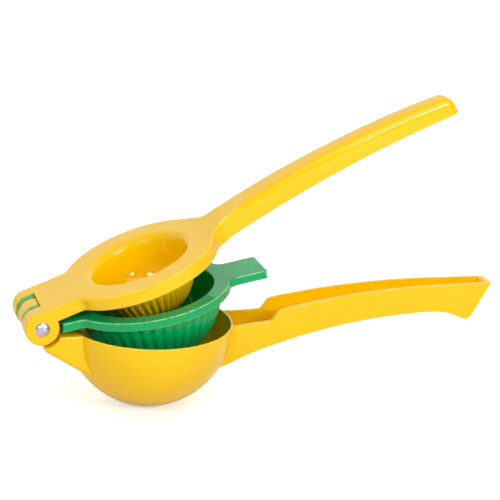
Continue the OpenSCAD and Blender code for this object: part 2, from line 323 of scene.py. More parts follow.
# ---------------------------------------------------------------- outlines
def arc(centre, radius, start, end, steps):
    """Points of an arc from one angle to another, in degrees, both ends included."""
    angles = [math.radians(start + (end - start) * i / steps) for i in range(steps + 1)]
    return [(centre[0] + radius * math.cos(a), centre[1] + radius * math.sin(a)) for a in angles]


def circle(radius, segments):
    """Points of a whole circle round zero."""
    return arc((0, 0), radius, 0, 360, segments)[:-1]


def crown(x, crest, bend):
    """Height of an arc of radius bend that peaks at crest."""
    return crest[1] - bend + math.sqrt(bend * bend - (x - crest[0]) ** 2)


def crown_points(start, end, crest, bend, steps=16):
    """Points of such an arc between two places along X."""
    xs = [start + (end - start) * i / steps for i in range(steps + 1)]
    return [(x, crown(x, crest, bend)) for x in xs]


def bezier(start, pull, end, share):
    """A point on the curve that leaves start towards pull and arrives at end."""
    return tuple(
        (1 - share) ** 2 * s + 2 * share * (1 - share) * p + share ** 2 * e
        for s, p, e in zip(start, pull, end)
    )


def eased(before, corner, after, reach, steps=5):
    """A corner between two lines as a short curve that starts at a distance reach from it."""
    ends = []
    for other in (before, after):
        share = reach / math.dist(other, corner)
        ends.append(tuple(c + (o - c) * share for c, o in zip(corner, other)))
    return [bezier(ends[0], corner, ends[1], i / steps) for i in range(steps + 1)]


def angle_to(start, end):
    """Degrees of the line from one point to another."""
    return math.degrees(math.atan2(end[1] - start[1], end[0] - start[0]))


def mirrored(half):
    """A whole plan outline from the points of its half at positive Y."""
    return half + [(x, -y) for x, y in reversed(half)]


def end_corner(reach, half_width, radius, steps):
    """The round corner at a handle's or tab's end, in plan, at positive Y."""
    return arc((reach - radius, half_width - radius), radius, CORNER_START, 0, steps)


def arm_plan(lug_x, disc_r, neck_half, neck_fillet, beyond):
    """Plan of a lug, a disc and what lies beyond its neck, with fillets in the corners."""
    disc = (REACH, 0.0)
    lug_y = HINGE_HALF + LUG_FILLET
    lug_centre = (REACH - math.sqrt((disc_r + LUG_FILLET) ** 2 - lug_y ** 2), lug_y)
    neck_y = neck_half + neck_fillet
    neck_centre = (REACH + math.sqrt((disc_r + neck_fillet) ** 2 - neck_y ** 2), neck_y)
    start, end = angle_to(disc, lug_centre), angle_to(disc, neck_centre)
    half = [(lug_x, HINGE_HALF)]
    half += arc(lug_centre, LUG_FILLET, -90, angle_to(lug_centre, disc), steps=6)
    half += arc(disc, disc_r, start, end, steps=48)[1:]
    half += arc(neck_centre, neck_fillet, 360 + angle_to(neck_centre, disc), 270, steps=10)[1:]
    return mirrored(half + beyond)


def clamp(share):
    """A share held between none and all."""
    return min(max(share, 0.0), 1.0)


def both_sides(near, far):
    """Two stretches along Y, the same distances to both sides of the middle plane."""
    return (near, far), (-far, -near)


# ---------------------------------------------------------------- which edges to round
def everywhere(middle):
    return True


def on_sides(half_width):
    """Accepts the edges of the two flat sides of a solid that is as wide both ways."""
    return lambda middle: abs(middle.y) > half_width - HAIR


def on_top(high):
    """Accepts the edges of a level solid's upper face."""
    return lambda middle: middle.z > high - HAIR


def on_top_or_bottom(low, high):
    """Accepts the edges of a level solid's upper and lower faces."""
    return lambda middle: middle.z > high - HAIR or middle.z < low + HAIR


# ---------------------------------------------------------------- solids
def prism(points, low, high):
    """A closed solid with a plan outline, between two heights."""
    solid = bmesh.new()
    face = solid.faces.new([solid.verts.new((x, y, low)) for x, y in points])
    grown = bmesh.ops.extrude_face_region(solid, geom=[face])["geom"]
    tops = [item for item in grown if isinstance(item, bmesh.types.BMVert)]
    bmesh.ops.translate(solid, verts=tops, vec=(0, 0, high - low))
    bmesh.ops.recalc_face_normals(solid, faces=solid.faces[:])
    return solid


def on_side(solid):
    """Lays an upright solid along Y."""
    quarter = Matrix.Rotation(math.radians(90), 3, "X")
    bmesh.ops.rotate(solid, verts=solid.verts[:], matrix=quarter)
    return solid


def side_prism(points, half_width):
    """A closed solid with a side outline in X and Z, as wide on both sides of the middle."""
    return on_side(prism(points, -half_width, half_width))


def disc_along_y(radius, near, far, edge=0.0):
    """A cylinder round the rivet's axis between two distances from the middle plane."""
    solid = on_side(prism(circle(radius, HINGE_SEGMENTS), -far, -near))
    if edge:
        round_edges(solid, edge, everywhere, steps=3)
    return solid


def round_edges(solid, radius, where, steps):
    """Rounds the sharp edges whose middle the test accepts."""
    sharp = [
        e for e in solid.edges
        if len(e.link_faces) == 2
        and e.calc_face_angle(0.0) > EDGE_ANGLE
        and where((e.verts[0].co + e.verts[1].co) / 2)
    ]
    bmesh.ops.bevel(
        solid, geom=sharp, offset=radius, offset_type="OFFSET", segments=steps,
        profile=0.5, affect="EDGES", clamp_overlap=False, material=-1,
    )
    return solid


def lathe(profile, segments, centre=(0.0, 0.0)):
    """A solid turned about Z from a profile of radii and heights that starts and ends on it."""
    solid = bmesh.new()
    verts = [solid.verts.new((radius, 0.0, height)) for radius, height in profile]
    edges = [solid.edges.new(pair) for pair in zip(verts, verts[1:])]
    bmesh.ops.spin(
        solid, geom=verts + edges, cent=(0, 0, 0), axis=(0, 0, 1), angle=math.tau,
        steps=segments, use_merge=True,
    )
    bmesh.ops.remove_doubles(solid, verts=solid.verts[:], dist=SAME_POINT)
    bmesh.ops.recalc_face_normals(solid, faces=solid.faces[:])
    bmesh.ops.translate(solid, verts=solid.verts[:], vec=(centre[0], centre[1], 0))
    return solid


def hollow(radius, centre_z, top_z, lip, segments, flare=0.0):
    """The space inside a bowl under its rim, flared at the top so that the rim is rounded."""
    lean = math.radians(flare)
    profile = arc((0.0, centre_z), radius, -90, -flare, steps=32)
    bend_z = top_z - lip * (1 - math.sin(lean))
    bend_r = profile[-1][0] + (bend_z - profile[-1][1]) * math.tan(lean)
    lip_centre = (bend_r + lip * math.cos(lean), top_z - lip)
    steps = max(LEAST_LIP_STEPS, round(LIP_STEPS_PER_MM * lip))
    profile += arc(lip_centre, lip, 180 - flare, LIP_END, steps)
    edge = lip_centre[0] + 2 * HAIR
    profile += [(edge, top_z + 4 * HAIR), (edge, FAR), (0.0, FAR)]
    return lathe(profile, segments, (REACH, 0.0))


def flute_growth(x, y, radius, pad_r):
    """How much a dome grows at a place so that flutes form, and none on the pad."""
    fade = clamp((math.hypot(x, y) - pad_r) / FLUTE_FADE)
    wave = abs(math.cos(math.atan2(y, x) * FLUTES / 2))
    return 1.0 + FLUTE_H * (wave - FLUTE_SINK) * fade * fade * (3 - 2 * fade) / radius


def fluted_dome(radius, centre_z, top_z, pad_r):
    """A solid dome with upright rounded flutes that fade out at a smooth pad below."""
    top_angle = math.degrees(math.asin((top_z - centre_z) / radius))
    profile = arc((0.0, centre_z), radius, -90, top_angle, steps=36) + [(0.0, top_z)]
    solid = lathe(profile, FLUTES * SEGMENTS_PER_FLUTE)
    for vert in solid.verts:
        grow = flute_growth(vert.co.x, vert.co.y, radius, pad_r)
        vert.co.x *= grow
        vert.co.y *= grow
        if vert.co.z < top_z - HAIR:
            vert.co.z = centre_z + (vert.co.z - centre_z) * grow
    bmesh.ops.translate(solid, verts=solid.verts[:], vec=(REACH, 0, 0))
    return solid


def steps_between(start, end, length):
    """Even stations between two places, about a length apart, both ends included."""
    count = max(1, round((end - start) / length))
    return [start + (end - start) * i / count for i in range(count + 1)]


def cut_across(solid, x, side, clear):
    """Cuts the faces that cross a plane across X, and may clear what lies behind it."""
    bmesh.ops.bisect_plane(
        solid, geom=solid.verts[:] + solid.edges[:] + solid.faces[:], dist=ON_PLANE,
        plane_co=(x, 0, 0), plane_no=(side, 0, 0), clear_inner=clear,
    )


def slice_along_x(solid, stations):
    """Cuts every face that crosses one of the stations, and leaves the shape as it was."""
    for x in stations:
        cut_across(solid, x, 1, False)


def keep_beyond(solid, x, side):
    """Keeps the part past a plane across X, on its side 1 or -1, and leaves the cut open."""
    cut_across(solid, x, side, True)
    return solid


def welded(solid, other):
    """One solid from two that are open where they meet."""
    mesh = bpy.data.meshes.new("other")
    other.to_mesh(mesh)
    other.free()
    solid.from_mesh(mesh)
    bpy.data.meshes.remove(mesh)
    bmesh.ops.remove_doubles(solid, verts=solid.verts[:], dist=WELD)
    bmesh.ops.recalc_face_normals(solid, faces=solid.faces[:])
    return solid


# ---------------------------------------------------------------- objects
def as_object(name, solid):
    """An object in the scene with a solid's mesh."""
    mesh = bpy.data.meshes.new(name)
    solid.to_mesh(mesh)
    solid.free()
    return in_scene(name, mesh)


def taken_out(piece):
    """A piece's mesh as a solid; its object goes with the mesh."""
    solid = bmesh.new()
    solid.from_mesh(piece.data)
    bpy.data.meshes.remove(piece.data)
    return solid


def edit(piece, change):
    """Runs a change on a piece's mesh."""
    solid = bmesh.new()
    solid.from_mesh(piece.data)
    change(solid)
    solid.to_mesh(piece.data)
    solid.free()


def mend(solid):
    """Merges what a cut left almost doubled, and closes the slits that this leaves."""
    bmesh.ops.remove_doubles(solid, verts=solid.verts[:], dist=MERGE)
    bmesh.ops.dissolve_degenerate(solid, edges=solid.edges[:], dist=MERGE)
    slits = [e for e in solid.edges if len(e.link_faces) == 1]
    if slits:
        bmesh.ops.holes_fill(solid, edges=slits, sides=0)
        bmesh.ops.recalc_face_normals(solid, faces=solid.faces[:])


def combine(piece, solid, operation):
    """Cuts a solid out of a piece, or joins it on, and keeps the result as plain faces."""
    tool = as_object("tool", solid)
    modifier = piece.modifiers.new("combine", "BOOLEAN")
    modifier.operation = operation
    modifier.solver = "EXACT"
    modifier.object = tool
    seen = piece.evaluated_get(bpy.context.evaluated_depsgraph_get())
    before, made = piece.data, bpy.data.meshes.new_from_object(seen)
    piece.modifiers.clear()
    piece.data = made
    for left in (before, tool.data):
        bpy.data.meshes.remove(left)
    edit(piece, mend)
    return piece


def cut(piece, solid):
    return combine(piece, solid, "DIFFERENCE")


def join(piece, solid):
    return combine(piece, solid, "UNION")


def bore(piece):
    """Cuts the rivet's bore through a lug."""
    return cut(piece, disc_along_y(BORE_R, -FAR, FAR))


def drill(piece, rings):
    """Cuts upright drain holes through a bowl, in rings of a radius and a count."""
    for distance, count in rings:
        for i in range(count):
            turn = math.tau * i / count
            hole = prism(circle(HOLE_R, HOLE_SEGMENTS), -FAR, HOLE_TOP_Z)
            place = (REACH + distance * math.cos(turn), distance * math.sin(turn), 0)
            bmesh.ops.translate(hole, verts=hole.verts[:], vec=place)
            cut(piece, hole)


def mark_highlight_and_wear_edges(solid):
    """Marks the narrow faces along rounded edges, where a pale colour paints a highlight, patchy
    like wear.
    """
    mark = solid.faces.layers.float.new("highlight_and_wear_edge")
    for face in solid.faces:
        middle = face.calc_center_median()
        from_axis = math.hypot(middle.x - REACH, middle.y)
        if from_axis < DOME_REACH and middle.z < PLATE_LOW - HAIR:
            continue
        longest = max(e.calc_length() for e in face.edges)
        along = [e for e in face.edges if e.calc_length() > longest / 2]
        narrow = face.calc_area() < EDGE_WIDTH * longest
        if narrow and min(e.calc_face_angle_signed(0.0) for e in along) > EDGE_BEND:
            face[mark] = 1.0


def finish_piece(piece, opened, body, node, material):
    """Opens a piece, lifts it onto the hinge in metres, smooths it and lets it ride."""
    place = (
        Matrix.Translation(HINGE)
        @ Matrix.Rotation(math.radians(-opened), 4, "Y")
        @ Matrix.Scale(MM, 4)
    )
    edit(piece, mark_highlight_and_wear_edges)
    piece.data.transform(place)
    piece.data.shade_smooth()
    piece.data.set_sharp_from_angle(angle=EDGE_ANGLE)
    shading = piece.modifiers.new("even_shading", "WEIGHTED_NORMAL")
    shading.keep_sharp = True
    shading.weight = SHADING_WEIGHT
    piece.data.materials.clear()
    piece.data.materials.append(material)
    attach(piece, body)
    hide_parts(node)


# ---------------------------------------------------------------- press arm
def press_top(x):
    """Height of the press arm's upper face: the level plate, the ramp at the neck, the arch."""
    if x <= NECK_START_X:
        return PLATE_HIGH
    if x >= NECK_END_X:
        return crown(x, PRESS_CREST, PRESS_TOP_BEND)
    start, pull = (NECK_START_X, PLATE_HIGH), (NECK_BEND_X, PLATE_HIGH)
    end = (NECK_END_X, crown(NECK_END_X, PRESS_CREST, PRESS_TOP_BEND))
    low, high = 0.0, 1.0
    for _ in range(HALVINGS):
        share = (low + high) / 2
        reached, height = bezier(start, pull, end, share)
        low, high = (share, high) if reached < x else (low, share)
    return height


def press_low(x):
    """Height of the press arm's lower edge: the level plate, then the belly."""
    return max(PLATE_LOW, crown(x, PRESS_BELLY, PRESS_BELLY_BEND))


def press_half(x):
    """Half of the press handle's width."""
    share = (x - NECK_END_X) / (PRESS_REACH - NECK_END_X)
    return NECK_HALF + (PRESS_TIP_HALF - NECK_HALF) * share


def press_round(x):
    """Radius of the press arm's upper edges, which grows along the handle."""
    if x <= NECK_END_X:
        share = clamp((x - NECK_START_X) / (NECK_END_X - NECK_START_X))
        return PLATE_ROUND + (PRESS_ROUND_AT_NECK - PLATE_ROUND) * share
    share = clamp((x - NECK_END_X) / PRESS_ROUND_RUN)
    return PRESS_ROUND_AT_NECK + (PRESS_ROUND_AT_TIP - PRESS_ROUND_AT_NECK) * share


def draw_in(vert, grow):
    """Draws a point of the handle's upper edge in, so that the edge rounds more in plan."""
    x, y = vert.co.x, abs(vert.co.y)
    core_x = min(x, PRESS_REACH - PRESS_TIP_ROUND)
    core_y = min(y, press_half(x) - PRESS_TIP_ROUND)
    out = Vector((x - core_x, y - core_y))
    if out.length > TINY:
        inset = max(PRESS_TIP_ROUND - out.length, 0.0)
        out *= (PRESS_TIP_ROUND - min(inset * grow, PRESS_TIP_ROUND)) / out.length
        vert.co.x = core_x + out.x
        vert.co.y = math.copysign(core_y + out.y, vert.co.y)


def lean_tip(solid):
    """Leans the handle's end face back towards its top."""
    for vert in solid.verts:
        x, _, z = vert.co
        share = clamp((x - PRESS_REACH + PRESS_LEAN_RUN) / PRESS_LEAN_RUN)
        top, low = press_top(x), press_low(x)
        height = clamp((z - low) / (top - low))
        vert.co.x -= PRESS_TIP_LEAN * share * height * height


def arch_arm(solid):
    """Gives the level plate and handle their arch, with edges that round more to the tip."""
    for vert in solid.verts:
        x, _, z = vert.co
        if x < NECK_START_X:
            continue
        if z > PLATE_MIDDLE:
            grow = press_round(x) / PLATE_ROUND
            if x > NECK_END_X:
                draw_in(vert, grow)
            vert.co.z = press_top(x) - (PLATE_HIGH - z) * grow
        else:
            vert.co.z = press_low(x) + (z - PLATE_LOW)
    lean_tip(solid)


def arch_channel(solid):
    """Lets the level roof of the channel follow the arch, a floor's thickness below it."""
    for vert in solid.verts:
        if vert.co.z > PLATE_MIDDLE:
            vert.co.z = press_top(vert.co.x) - HANDLE_FLOOR - (PLATE_HIGH - vert.co.z)


def press_plate():
    """Plate and handle, whose open end at the lug is closed by the hinge end."""
    tip = end_corner(PRESS_REACH, PRESS_TIP_HALF, PRESS_TIP_ROUND, steps=7)
    plan = arm_plan(LUG_JOIN_X - LUG_OVERLAP, PLATE_R, NECK_HALF, NECK_FILLET, tip)
    solid = prism(plan, PLATE_LOW, PLATE_HIGH)
    round_edges(solid, PLATE_ROUND, on_top_or_bottom(PLATE_LOW, PLATE_HIGH), steps=5)
    keep_beyond(solid, LUG_JOIN_X, 1)
    tip_x = PRESS_REACH - PRESS_TIP_ROUND
    slice_along_x(solid, steps_between(NECK_START_X, NECK_END_X, NECK_SLICE))
    slice_along_x(solid, steps_between(NECK_END_X, tip_x, HANDLE_SLICE)[1:-1])
    arch_arm(solid)
    return solid


def press_hinge_end():
    """The lug with both ears, from the side: a disc that runs on into the level plate."""
    low_meets = math.degrees(math.asin(PLATE_LOW / EAR_R))
    start, pull = (LUG_JOIN_X - CLEAR, PLATE_HIGH), (LUG_JOIN_X / 2, PLATE_HIGH)
    shares = [i / EAR_SWELL_STEPS for i in reversed(range(EAR_SWELL_STEPS))]
    swell = [bezier(start, pull, EAR_SWELL_END, share) for share in shares]
    outline = [(LUG_JOIN_X + LUG_OVERLAP, PLATE_LOW)]
    outline += arc((0, 0), EAR_R, low_meets, EAR_ARC_END, steps=72)
    outline += swell + [(LUG_JOIN_X + LUG_OVERLAP, PLATE_HIGH)]
    solid = side_prism(outline, HINGE_HALF)
    round_edges(solid, PLATE_ROUND, on_sides(HINGE_HALF), steps=5)
    return keep_beyond(solid, LUG_JOIN_X, -1)


def press_channel():
    """The channel inside the press handle, open below."""
    start_x, end_x = NECK_END_X + HANDLE_FLOOR, PRESS_REACH - PRESS_END_WALL
    side = (start_x, press_half(NECK_END_X) - HANDLE_WALL)
    end_half = press_half(end_x) - HANDLE_WALL
    plan = mirrored([side] + end_corner(end_x, end_half, PRESS_CHANNEL_CORNER, steps=5))
    solid = prism(plan, -FAR, PLATE_HIGH)
    round_edges(solid, PRESS_CHANNEL_ROUND, on_top(PLATE_HIGH), steps=4)
    stations = steps_between(start_x, end_x - PRESS_CHANNEL_CORNER, HANDLE_SLICE)
    slice_along_x(solid, stations[1:-1])
    arch_channel(solid)
    return solid


def make_press_arm():
    """Plate, ears and handle, with the fluted cup and the gap for the knuckles."""
    piece = as_object("press_arm_casting", welded(press_plate(), press_hinge_end()))
    join(piece, fluted_dome(CUP_R + CUP_WALL, PLATE_LOW, PLATE_LOW + DOME_OVERLAP, CUP_PAD_R))
    cut(piece, hollow(CUP_R, PLATE_LOW, PLATE_HIGH, CUP_LIP, BOWL_SEGMENTS, CUP_FLARE))
    cut(piece, press_channel())
    cut(piece, disc_along_y(KNUCKLE_BAY, -EAR_IN, EAR_IN))
    return bore(piece)


# ---------------------------------------------------------------- lime bowl
def make_lime_bowl():
    """Ring with its thumb tab and two knuckles, and the fluted bowl under it."""
    tab_end = end_corner(TAB_REACH, TAB_HALF, TAB_CORNER, steps=6)
    solid = prism(arm_plan(0.0, RING_R, TAB_HALF, TAB_FILLET, tab_end), RING_LOW, RING_HIGH)
    round_edges(solid, RING_ROUND, on_top_or_bottom(RING_LOW, RING_HIGH), steps=4)
    piece = as_object("lime_bowl_casting", solid)
    for near, far in both_sides(LIME_KNUCKLE_OUT, FAR):
        cut(piece, disc_along_y(EAR_BAY, near, far))
    cut(piece, disc_along_y(KNUCKLE_BAY, -LIME_KNUCKLE_IN, LIME_KNUCKLE_IN))
    for near, far in both_sides(LIME_KNUCKLE_IN + HAIR, LIME_KNUCKLE_OUT - HAIR):
        join(piece, disc_along_y(KNUCKLE_R, near, far, KNUCKLE_EDGE))
    dome_top = RING_LOW + DOME_OVERLAP
    join(piece, fluted_dome(LIME_R + LIME_WALL, LIME_CENTRE_Z, dome_top, LIME_PAD_R))
    cut(piece, hollow(LIME_R, LIME_CENTRE_Z, RING_HIGH, LIME_LIP, LIME_SEGMENTS))
    drill(piece, LIME_HOLE_RINGS)
    return bore(piece)


# ---------------------------------------------------------------- lemon bowl arm
def lemon_half(x):
    """Half of the lemon handle's width, which spreads a little towards the bowl."""
    along = max((x - NOTCH_END_X) / (HANDLE_TIP[0] - NOTCH_END_X), 0.0)
    near_bowl = clamp((FLARE_START_X - x) / (FLARE_START_X - REACH - LEMON_R))
    return HANDLE_HALF + (HANDLE_TIP_HALF - HANDLE_HALF) * along + FLARE * near_bowl ** 2


def taper(solid, inset):
    """Narrows a solid of even width to the lemon handle's width, less an inset."""
    for vert in solid.verts:
        vert.co.y *= (lemon_half(vert.co.x) - inset) / HANDLE_HALF


def lemon_belly(shift, start_x):
    """The lemon handle's lower edge, raised by shift, down to the hook of its toe."""
    crest = (LEMON_BELLY[0], LEMON_BELLY[1] + shift)
    run = crown_points(start_x, crest[0], crest, LEMON_BELLY_BEND)
    return run + crown_points(crest[0] + CLEAR, crest[0] + TOE_RUN, crest, TOE_BEND, steps=8)


def lemon_handle_outline():
    """The lemon handle from the side: belly, toe, tip, crest and the notch for the tab."""
    crest = crown_points(LEMON_CREST[0], NOTCH_END_X + NOTCH_RISE, LEMON_CREST, LEMON_TOP_BEND)
    notch_low = (NOTCH_END_X, NOTCH_Z)
    notch_run = NOTCH_END_X - HANDLE_START_X
    notch_start = (HANDLE_START_X, NOTCH_Z - notch_run * NOTCH_SLOPE)
    outline = lemon_belly(0.0, HANDLE_START_X)
    outline += arc(TOE, TOE_R, *TOE_ARC, steps=8) + [HANDLE_TIP] + crest[:-1]
    outline += eased(crest[-2], crest[-1], notch_low, NOTCH_TOP_EASE)
    outline += eased(crest[-1], notch_low, notch_start, NOTCH_LOW_EASE)
    return outline + [notch_start]


def lemon_channel():
    """The channel inside the lemon handle, open above."""
    outline = lemon_belly(HANDLE_FLOOR, CHANNEL_START_X) + CHANNEL_TOE
    outline += [CHANNEL_END, (CHANNEL_END[0], FAR), (CHANNEL_START_X, FAR)]
    solid = side_prism(outline, HANDLE_HALF)
    on_faces = on_sides(HANDLE_HALF)

    def inside(middle):
        return on_faces(middle) and middle.z < HANDLE_TIP[1] - CLEAR

    round_edges(solid, LEMON_CHANNEL_ROUND, inside, steps=3)
    slice_along_x(solid, steps_between(CHANNEL_START_X + CLEAR, FLARE_START_X, ROOT_SLICE))
    taper(solid, HANDLE_WALL)
    return solid


def lemon_handle():
    """The lemon handle with its channel, from inside the bowl's wall to the tip."""
    solid = side_prism(lemon_handle_outline(), HANDLE_HALF)
    on_faces = on_sides(HANDLE_HALF)

    def outside_bowl(middle):
        return on_faces(middle) and middle.x > HANDLE_START_X + CLEAR

    round_edges(solid, LEMON_EDGE_ROUND, outside_bowl, steps=3)
    slice_along_x(solid, steps_between(HANDLE_START_X + 2 * CLEAR, FLARE_START_X, ROOT_SLICE))
    taper(solid, 0.0)
    return cut(as_object("lemon_handle", solid), lemon_channel())


def knuckle_carrier():
    """The side outline of what carries the centre knuckle on the lug."""
    bay_x = EAR_BAY + CLEAR
    under_knuckle = (-CARRIER_R * math.sin(CARRIER_LEAN), -CARRIER_R * math.cos(CARRIER_LEAN))
    return [(0, RIM_Z), (bay_x, RIM_Z), (bay_x, RIM_Z - EAR_BAY), LUG_HEEL, under_knuckle]


def lemon_lug():
    """The lug under the hinge, with room for the ears and a knuckle between them."""
    outline = [LUG_HEEL, LUG_MEETS, LUG_END, (LUG_END[0], RIM_Z), (LUG_HEEL[0], RIM_Z)]
    solid = side_prism(outline, HINGE_HALF)
    on_faces, at_rim = on_sides(HINGE_HALF), on_top(RIM_Z)
    round_edges(solid, LUG_ROUND, lambda m: on_faces(m) and m.z < LUG_ROUND_TOP_Z, steps=5)
    round_edges(solid, LUG_TOP_ROUND, lambda m: on_faces(m) and at_rim(m), steps=3)
    piece = as_object("lemon_lug", solid)
    for near, far in both_sides(CENTRE_HALF, FAR):
        cut(piece, disc_along_y(EAR_BAY, near, far))
    half = CENTRE_HALF - HAIR
    join(piece, side_prism(knuckle_carrier(), half))
    return join(piece, disc_along_y(KNUCKLE_R, -half, half, KNUCKLE_EDGE))


def bowl_outside():
    """The lemon bowl's outer form, ground flat below and rounded at the rim."""
    foot_r = math.sqrt(LEMON_R ** 2 - (FOOT_Z - LEMON_CENTRE_Z) ** 2)
    foot_angle = math.degrees(math.asin((FOOT_Z - LEMON_CENTRE_Z) / LEMON_R))
    lip_centre = (LEMON_R - LEMON_LIP, RIM_Z - LEMON_LIP)
    profile = [(0.0, FOOT_Z), (foot_r - FOOT_EDGE, FOOT_Z)]
    profile += arc((0.0, LEMON_CENTRE_Z), LEMON_R, foot_angle + FOOT_EDGE_TURN, 0, steps=40)
    profile += arc(lip_centre, LEMON_LIP, 0, 90, steps=4)
    return lathe(profile + [(0.0, RIM_Z)], BOWL_SEGMENTS, (REACH, 0.0))


def make_lemon_bowl_arm():
    """Lemon bowl with its lug and handle, hollowed, drilled and bored."""
    piece = as_object("lemon_bowl_arm_casting", bowl_outside())
    join(piece, taken_out(lemon_lug()))
    join(piece, taken_out(lemon_handle()))
    inner_r = LEMON_R - LEMON_WALL
    cut(piece, hollow(inner_r, LEMON_CENTRE_Z, RIM_Z, LEMON_INNER_LIP, BOWL_SEGMENTS))
    drill(piece, LEMON_HOLE_RINGS)
    return bore(piece)


# ---------------------------------------------------------------- rivet
def make_rivet():
    """Shank with two domed heads, each seated on its ear."""
    dome_r = (HEAD_H ** 2 + HEAD_R ** 2) / (2 * HEAD_H)
    spread = math.degrees(math.asin(HEAD_R / dome_r))
    dome = arc((0.0, HINGE_HALF + HEAD_H - dome_r), dome_r, 90, 90 - spread, steps=14)
    half = dome + [(HEAD_R - HEAD_EDGE, HINGE_HALF), (SHANK_R, HINGE_HALF)]
    profile = half + [(radius, -height) for radius, height in reversed(half)]
    return as_object("rivet", on_side(lathe(profile, RIVET_SEGMENTS)))


# ---------------------------------------------------------------- shader nodes
def add(tree, kind, **settings):
    """A node with its attributes set by name and its inputs by their labels."""
    node = tree.nodes.new(kind)
    for name, value in settings.items():
        label = name.replace("_", " ").title()
        if name in node.bl_rna.properties:
            setattr(node, name, value)
        else:
            node.inputs[label].default_value = value
    return node


def feed(tree, values, sockets):
    """Gives each socket its value, which may be a plain one or another node's output."""
    for value, socket in zip(values, sockets):
        if isinstance(value, bpy.types.NodeSocket):
            tree.links.new(value, socket)
        else:
            socket.default_value = value


def object_place(tree):
    """Where a point lies on the object, in metres."""
    return tree.nodes.new("ShaderNodeTexCoord").outputs["Object"]


def noise(tree, place, scale, detail, roughness=0.5):
    """Soft random values over the object."""
    node = add(tree, "ShaderNodeTexNoise", scale=scale, detail=detail, roughness=roughness)
    tree.links.new(place, node.inputs["Vector"])
    return node.outputs["Fac"]


def ramp(tree, value, low, high, dark, light):
    """Maps a value between two limits onto two others, smoothly."""
    node = add(
        tree, "ShaderNodeMapRange", interpolation_type="SMOOTHSTEP",
        from_min=low, from_max=high, to_min=dark, to_max=light,
    )
    tree.links.new(value, node.inputs["Value"])
    return node.outputs["Result"]


def patches(tree, place, name):
    """One of the finishes' layers of noise."""
    scale, detail, roughness, *limits = PATCHES[name]
    return ramp(tree, noise(tree, place, scale, detail, roughness), *limits)


def worked_out(tree, operation, *values):
    """The result of a sum on values that may be plain or another node's output."""
    node = add(tree, "ShaderNodeMath", operation=operation)
    feed(tree, values, node.inputs)
    return node.outputs["Value"]


def mixed(tree, share, first, second):
    """A colour between two others."""
    node = add(tree, "ShaderNodeMix", data_type="RGBA")
    sockets = (node.inputs["Factor"], node.inputs[COLOUR_A], node.inputs[COLOUR_B])
    feed(tree, (share, first, second), sockets)
    return node.outputs[COLOUR_RESULT]


def bumped(tree, height, strength):
    """The normal of a surface with a fine relief."""
    node = add(tree, "ShaderNodeBump", distance=RELIEF, strength=strength)
    tree.links.new(height, node.inputs["Height"])
    return node.outputs["Normal"]


def node_group(name, inputs, outputs):
    """An empty shader group with its sockets; returns the group and its two ends."""
    group = bpy.data.node_groups.new(name, "ShaderNodeTree")
    for label, kind, value in inputs:
        socket = group.interface.new_socket(label, in_out="INPUT", socket_type=kind)
        socket.default_value = value
    for label, kind in outputs:
        group.interface.new_socket(label, in_out="OUTPUT", socket_type=kind)
    return group, group.nodes.new("NodeGroupInput"), group.nodes.new("NodeGroupOutput")


# ---------------------------------------------------------------- materials
def enamel_colour(tree, place, given):
    """Enamel cloudy in its depth, and paler in patches along the rounded edges: a painted
    highlight, patchy like wear.
    """
    clouds = patches(tree, place, "clouds")
    tone = mixed(tree, clouds, given["Colour"], given["Deep Colour"])
    # painted highlight on the marked rounded edges, broken into patches like wear
    highlight_edge_faces = add(tree, "ShaderNodeAttribute", attribute_name="highlight_and_wear_edge").outputs["Fac"]
    sheen_and_wear = worked_out(tree, "MULTIPLY", highlight_edge_faces, patches(tree, place, "edge_sheen_and_wear"))
    share = worked_out(tree, "MULTIPLY", sheen_and_wear, EDGE_HIGHLIGHT_AND_WEAR)
    return mixed(tree, share, tone, given["Edge Highlight And Wear"])


def enamel_roughness(tree, place, given):
    """The enamel's gloss, dulled by fine scuffs and by smears."""
    scuffs, smears = patches(tree, place, "scuffs"), patches(tree, place, "smears")
    marks = worked_out(tree, "ADD", scuffs, smears)
    return worked_out(tree, "ADD", marks, given["Roughness"])


def enamel_surface_group():
    """Baked enamel on a casting: cloudy depth of colour, painted edge highlights with wear,
    scuffs and orange peel.
    """
    group, start, end = node_group(
        "enamel_surface",
        [
            ("Colour", "NodeSocketColor", WHITE),
            ("Deep Colour", "NodeSocketColor", WHITE),
            ("Edge Highlight And Wear", "NodeSocketColor", WHITE),
            ("Roughness", "NodeSocketFloat", ENAMEL_ROUGHNESS),
        ],
        [
            ("Colour", "NodeSocketColor"),
            ("Roughness", "NodeSocketFloat"),
            ("Normal", "NodeSocketVector"),
        ],
    )
    place = object_place(group)
    peel = bumped(group, noise(group, place, PEEL_SCALE, PEEL_DETAIL), PEEL_STRENGTH)
    made = (
        enamel_colour(group, place, start.outputs),
        enamel_roughness(group, place, start.outputs),
        peel,
    )
    feed(group, made, end.inputs)
    return group


def principled(name):
    """A new material with its tree and its shader."""
    material = bpy.data.materials.new(name)
    material.use_nodes = True
    return material, material.node_tree, material.node_tree.nodes["Principled BSDF"]


def enamel(name, surface_group, colours):
    """Glossy enamel in its own colours, on the shared surface."""
    material, tree, shader = principled(name)
    surface = tree.nodes.new("ShaderNodeGroup")
    surface.node_tree = surface_group
    for label, colour in colours.items():
        surface.inputs[label].default_value = (*colour, 1.0)
    surface.inputs["Roughness"].default_value = ENAMEL_ROUGHNESS
    tree.links.new(surface.outputs["Colour"], shader.inputs["Base Color"])
    tree.links.new(surface.outputs["Roughness"], shader.inputs["Roughness"])
    tree.links.new(surface.outputs["Normal"], shader.inputs["Normal"])
    shader.inputs["IOR"].default_value = ENAMEL_IOR
    shader.inputs["Specular IOR Level"].default_value = ENAMEL_SPECULAR
    return material


